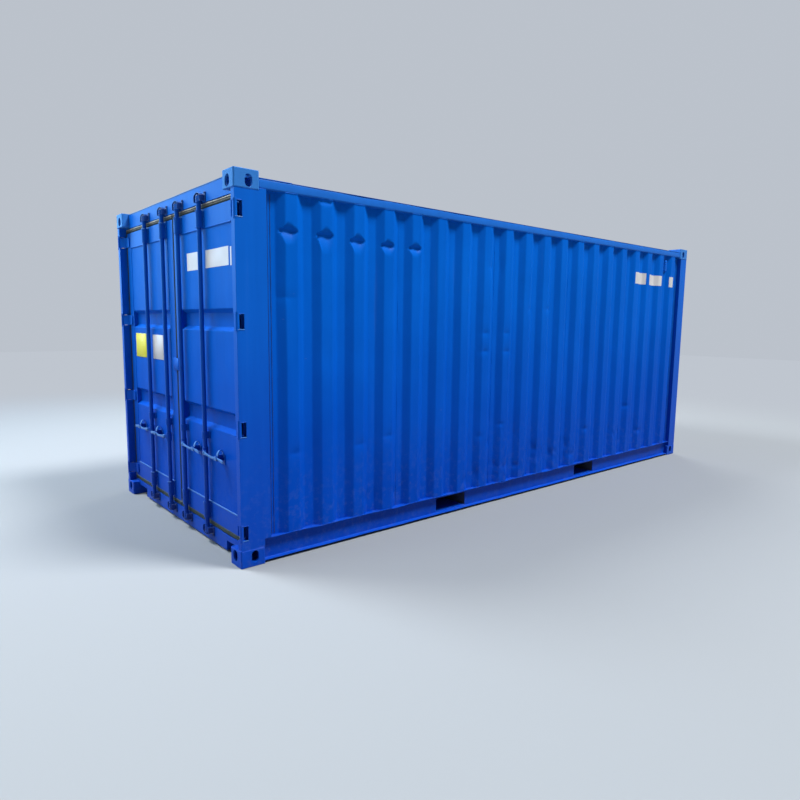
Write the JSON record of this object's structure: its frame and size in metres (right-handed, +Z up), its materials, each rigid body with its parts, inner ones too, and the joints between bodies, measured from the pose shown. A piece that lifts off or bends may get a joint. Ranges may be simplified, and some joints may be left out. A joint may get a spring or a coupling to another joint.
{
  "type": "shipping container",
  "caption": "Corrugated steel freight box with a timber floor, corner castings, fork pockets and double end doors held shut by turning lock bars and handles.",
  "frame": {"origin": "centre of the footprint, on the ground under the four bottom castings", "axes": "+X from the door end to the closed end, +Z up, +Y to the left as seen facing the doors"},
  "size_m": [6.058, 2.438, 2.591],
  "materials": {
    "blue_paint": "semi-gloss blue paint",
    "underside_paint": "dark underside coating",
    "plywood": "sealed plywood boards",
    "seal_rubber": "weathered door seal",
    "white_panel": "blank white film",
    "yellow_panel": "blank yellow film"
  },
  "bodies": {
    "root": {"bottom_castings": "blue_paint", "top_castings": "blue_paint", "door_post_left": "blue_paint", "door_post_right": "blue_paint", "end_post_left": "blue_paint", "end_post_right": "blue_paint", "door_header": "blue_paint", "door_sill": "blue_paint", "end_top_rail": "blue_paint", "end_bottom_rail": "blue_paint", "top_rail_left": "blue_paint", "top_rail_right": "blue_paint", "bottom_rail_left": "blue_paint", "bottom_rail_right": "blue_paint", "side_wall_left": "blue_paint", "side_wall_right": "blue_paint", "end_wall": "blue_paint", "roof_panel": "blue_paint", "roof_corner_plates": "blue_paint", "ventilators": "blue_paint", "floor_boards": "plywood", "floor_centre_rail": "underside_paint", "cross_members": "underside_paint", "pocket_plates": "blue_paint", "pocket_sides": "underside_paint", "pocket_straps": "blue_paint", "cam_keepers": "blue_paint"},
    "left_door": {"left_door_frame": "blue_paint", "left_door_panel": "blue_paint", "left_door_gasket": "seal_rubber", "left_door_hinges": "blue_paint", "left_door_fittings": "blue_paint"},
    "right_door": {"right_door_frame": "blue_paint", "right_door_panel": "blue_paint", "right_door_gasket": "seal_rubber", "right_door_hinges": "blue_paint", "right_door_fittings": "blue_paint"},
    "lock_bar_1": {"lock_bar_1": "blue_paint"},
    "lock_bar_2": {"lock_bar_2": "blue_paint"},
    "lock_bar_3": {"lock_bar_3": "blue_paint"},
    "lock_bar_4": {"lock_bar_4": "blue_paint"},
    "handle_1": {"handle_1": "blue_paint"},
    "handle_2": {"handle_2": "blue_paint"},
    "handle_3": {"handle_3": "blue_paint"},
    "handle_4": {"handle_4": "blue_paint"}
  },
  "joints": [
    {"name": "left_door_hinge", "type": "hinge", "parent": "root", "child": "left_door", "pos_m": [-3.015, 1.205, 0], "axis": [0, 0, -1], "range_deg": [0, 266]},
    {"name": "right_door_hinge", "type": "hinge", "parent": "root", "child": "right_door", "pos_m": [-3.015, -1.205, 0], "axis": [0, 0, 1], "range_deg": [0, 266]},
    {"name": "lock_bar_1_turn", "type": "hinge", "parent": "left_door", "child": "lock_bar_1", "pos_m": [-2.991, 0.58, 0], "axis": [0, 0, -1], "range_deg": [-100, 0]},
    {"name": "lock_bar_2_turn", "type": "hinge", "parent": "left_door", "child": "lock_bar_2", "pos_m": [-2.991, 0.165, 0], "axis": [0, 0, -1], "range_deg": [-100, 0]},
    {"name": "lock_bar_3_turn", "type": "hinge", "parent": "right_door", "child": "lock_bar_3", "pos_m": [-2.991, -0.165, 0], "axis": [0, 0, 1], "range_deg": [-100, 0]},
    {"name": "lock_bar_4_turn", "type": "hinge", "parent": "right_door", "child": "lock_bar_4", "pos_m": [-2.991, -0.58, 0], "axis": [0, 0, 1], "range_deg": [-100, 0]},
    {"name": "handle_1_lift", "type": "hinge", "parent": "lock_bar_1", "child": "handle_1", "pos_m": [-3.0095, 0.618, 0.69], "axis": [1, 0, 0], "range_deg": [0, 25]},
    {"name": "handle_2_lift", "type": "hinge", "parent": "lock_bar_2", "child": "handle_2", "pos_m": [-3.0095, 0.203, 0.69], "axis": [1, 0, 0], "range_deg": [0, 25]},
    {"name": "handle_3_lift", "type": "hinge", "parent": "lock_bar_3", "child": "handle_3", "pos_m": [-3.0095, -0.203, 0.69], "axis": [-1, 0, 0], "range_deg": [0, 25]},
    {"name": "handle_4_lift", "type": "hinge", "parent": "lock_bar_4", "child": "handle_4", "pos_m": [-3.0095, -0.618, 0.69], "axis": [-1, 0, 0], "range_deg": [0, 25]}
  ]
}
